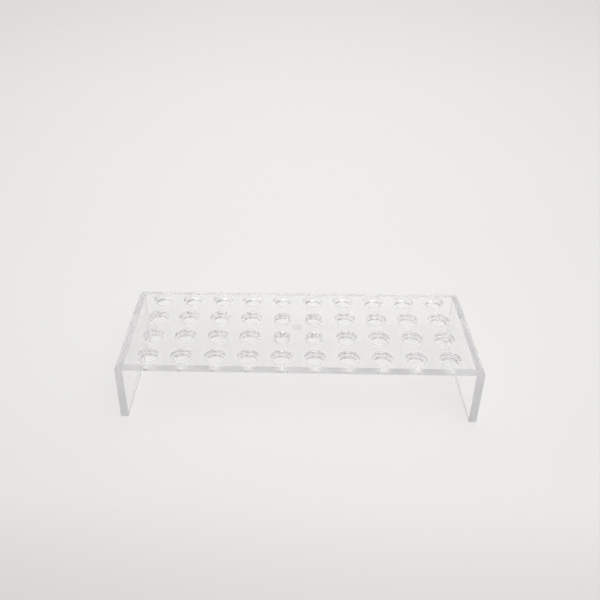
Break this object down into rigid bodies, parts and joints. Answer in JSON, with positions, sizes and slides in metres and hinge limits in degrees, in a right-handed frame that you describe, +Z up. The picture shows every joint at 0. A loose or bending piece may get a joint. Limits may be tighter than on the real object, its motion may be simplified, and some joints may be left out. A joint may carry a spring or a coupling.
{
  "type": "microcentrifuge tube rack",
  "caption": "Clear bench rack for microcentrifuge tubes: a flat plate with a grid of stepped holes, turned down into a leg at each end.",
  "frame": {"origin": "on the table, under the middle of the plate", "axes": "+X along the length, to the right as seen from the front; +Y to the back; +Z up, out of the holes"},
  "size_m": [0.24, 0.0864, 0.045],
  "materials": {
    "clear_plastic": "gloss"
  },
  "bodies": {
    "root": {"rack": "clear_plastic"}
  },
  "joints": []
}
